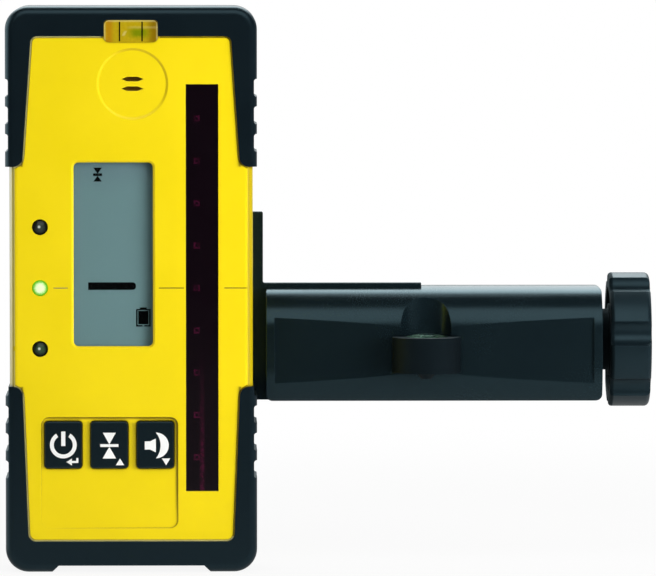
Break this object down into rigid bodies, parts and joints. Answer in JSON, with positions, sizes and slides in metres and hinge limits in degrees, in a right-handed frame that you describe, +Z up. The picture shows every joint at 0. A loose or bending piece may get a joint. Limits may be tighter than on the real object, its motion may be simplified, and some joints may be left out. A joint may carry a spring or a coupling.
{
  "type": "laser receiver",
  "caption": "Hand-held laser receiver with display, sensor window and keys, held on a rod clamp bracket with a screw-driven jaw and a round level.",
  "frame": {"origin": "middle of the fixed jaw's rubber face, on the clamp screw's axis", "axes": "+X from the fixed jaw towards the clamp knob, +Y away from the display side, +Z up"},
  "size_m": [0.1978, 0.0668, 0.1709],
  "materials": {
    "yellow_case": "fine moulded grain",
    "black_rubber": "matt overmoulded rubber",
    "black_plastic": "satin glass-filled plastic",
    "key_plastic": "satin with white symbols",
    "seal_rubber": "matt",
    "clear_lens": "clear acrylic",
    "display": "grey reflective display",
    "white_plastic": "matt white",
    "dark_filter": "polished dark filter",
    "lamp_off": "tinted lamp, unlit",
    "lamp_lit": "green lamp, lit",
    "level_fluid": "yellow-green spirit",
    "vial_end": "amber plug",
    "board": "solder resist",
    "steel": "zinc-plated",
    "cell": "plain sleeve",
    "brass": "turned"
  },
  "bodies": {
    "receiver": {"front_case": "yellow_case", "rear_case": "yellow_case", "top_bumper": "black_rubber", "bottom_bumper": "black_rubber", "fixed_pad": "black_rubber", "level_screw": "black_plastic", "mount_plate": "black_plastic", "clamp_arm": "black_plastic", "level_cup": "black_plastic", "case_seal": "seal_rubber", "speaker_gasket": "seal_rubber", "keypad_mat": "seal_rubber", "display_lens": "clear_lens", "vial_block": "clear_lens", "level_lens": "clear_lens", "display_panel": "display", "display_backlight": "white_plastic", "sensor_window": "dark_filter", "photodiodes": "dark_filter", "lamp_high": "lamp_off", "lamp_low": "lamp_off", "lamp_grade": "lamp_lit", "vial_liquid": "level_fluid", "level_liquid": "level_fluid", "vial_plug": "vial_end", "main_board": "board", "tact_switches": "steel", "board_screws": "steel", "case_screws": "steel", "battery_contacts": "steel", "arm_screws": "steel", "batteries": "cell", "mount_insert": "brass", "clamp_nut": "brass", "speaker": "brass"},
    "power_key": {"power_key": "key_plastic"},
    "band_key": {"band_key": "key_plastic"},
    "volume_key": {"volume_key": "key_plastic"},
    "jaw": {"sliding_jaw": "black_plastic", "sliding_pad": "black_rubber"},
    "clamp_knob": {"clamp_screw": "steel", "screw_clip": "steel", "clamp_knob": "black_plastic", "knob_cap": "black_plastic"},
    "lock_washer": {"lock_washer": "steel"},
    "lock_knob": {"lock_knob": "black_plastic", "lock_screw": "steel"},
    "battery_door": {"battery_door": "yellow_case", "door_seal": "seal_rubber"}
  },
  "joints": [
    {"name": "power_press", "type": "slide", "parent": "receiver", "child": "power_key", "axis": [0, 1, 0], "range_m": [0, 0.0006], "stiffness_N_per_m": 800},
    {"name": "band_press", "type": "slide", "parent": "receiver", "child": "band_key", "axis": [0, 1, 0], "range_m": [0, 0.0006], "stiffness_N_per_m": 800},
    {"name": "volume_press", "type": "slide", "parent": "receiver", "child": "volume_key", "axis": [0, 1, 0], "range_m": [0, 0.0006], "stiffness_N_per_m": 800},
    {"name": "jaw_travel", "type": "slide", "parent": "receiver", "child": "jaw", "axis": [1, 0, 0], "range_m": [0, 0.042]},
    {"name": "clamp_turn", "type": "hinge", "parent": "jaw", "child": "clamp_knob", "pos_m": [0, 0, 0], "axis": [1, 0, 0], "range_deg": [0, 3780]},
    {"name": "lock_travel", "type": "slide", "parent": "receiver", "child": "lock_washer", "axis": [0, 1, 0], "range_m": [0, 0.007]},
    {"name": "lock_turn", "type": "hinge", "parent": "lock_washer", "child": "lock_knob", "pos_m": [-0.0519, -0.013, 0.01125], "axis": [0, 1, 0], "range_deg": [0, 2520]},
    {"name": "door_swing", "type": "hinge", "parent": "receiver", "child": "battery_door", "pos_m": [-0.0519, -0.0182, -0.05605], "axis": [-1, 0, 0], "range_deg": [0, 90]}
  ],
  "couplings": [
    {"joint": "jaw_travel", "follows": "clamp_turn", "m_per_rad": 0.00063662},
    {"joint": "lock_travel", "follows": "lock_turn", "m_per_rad": 0.00015915}
  ]
}
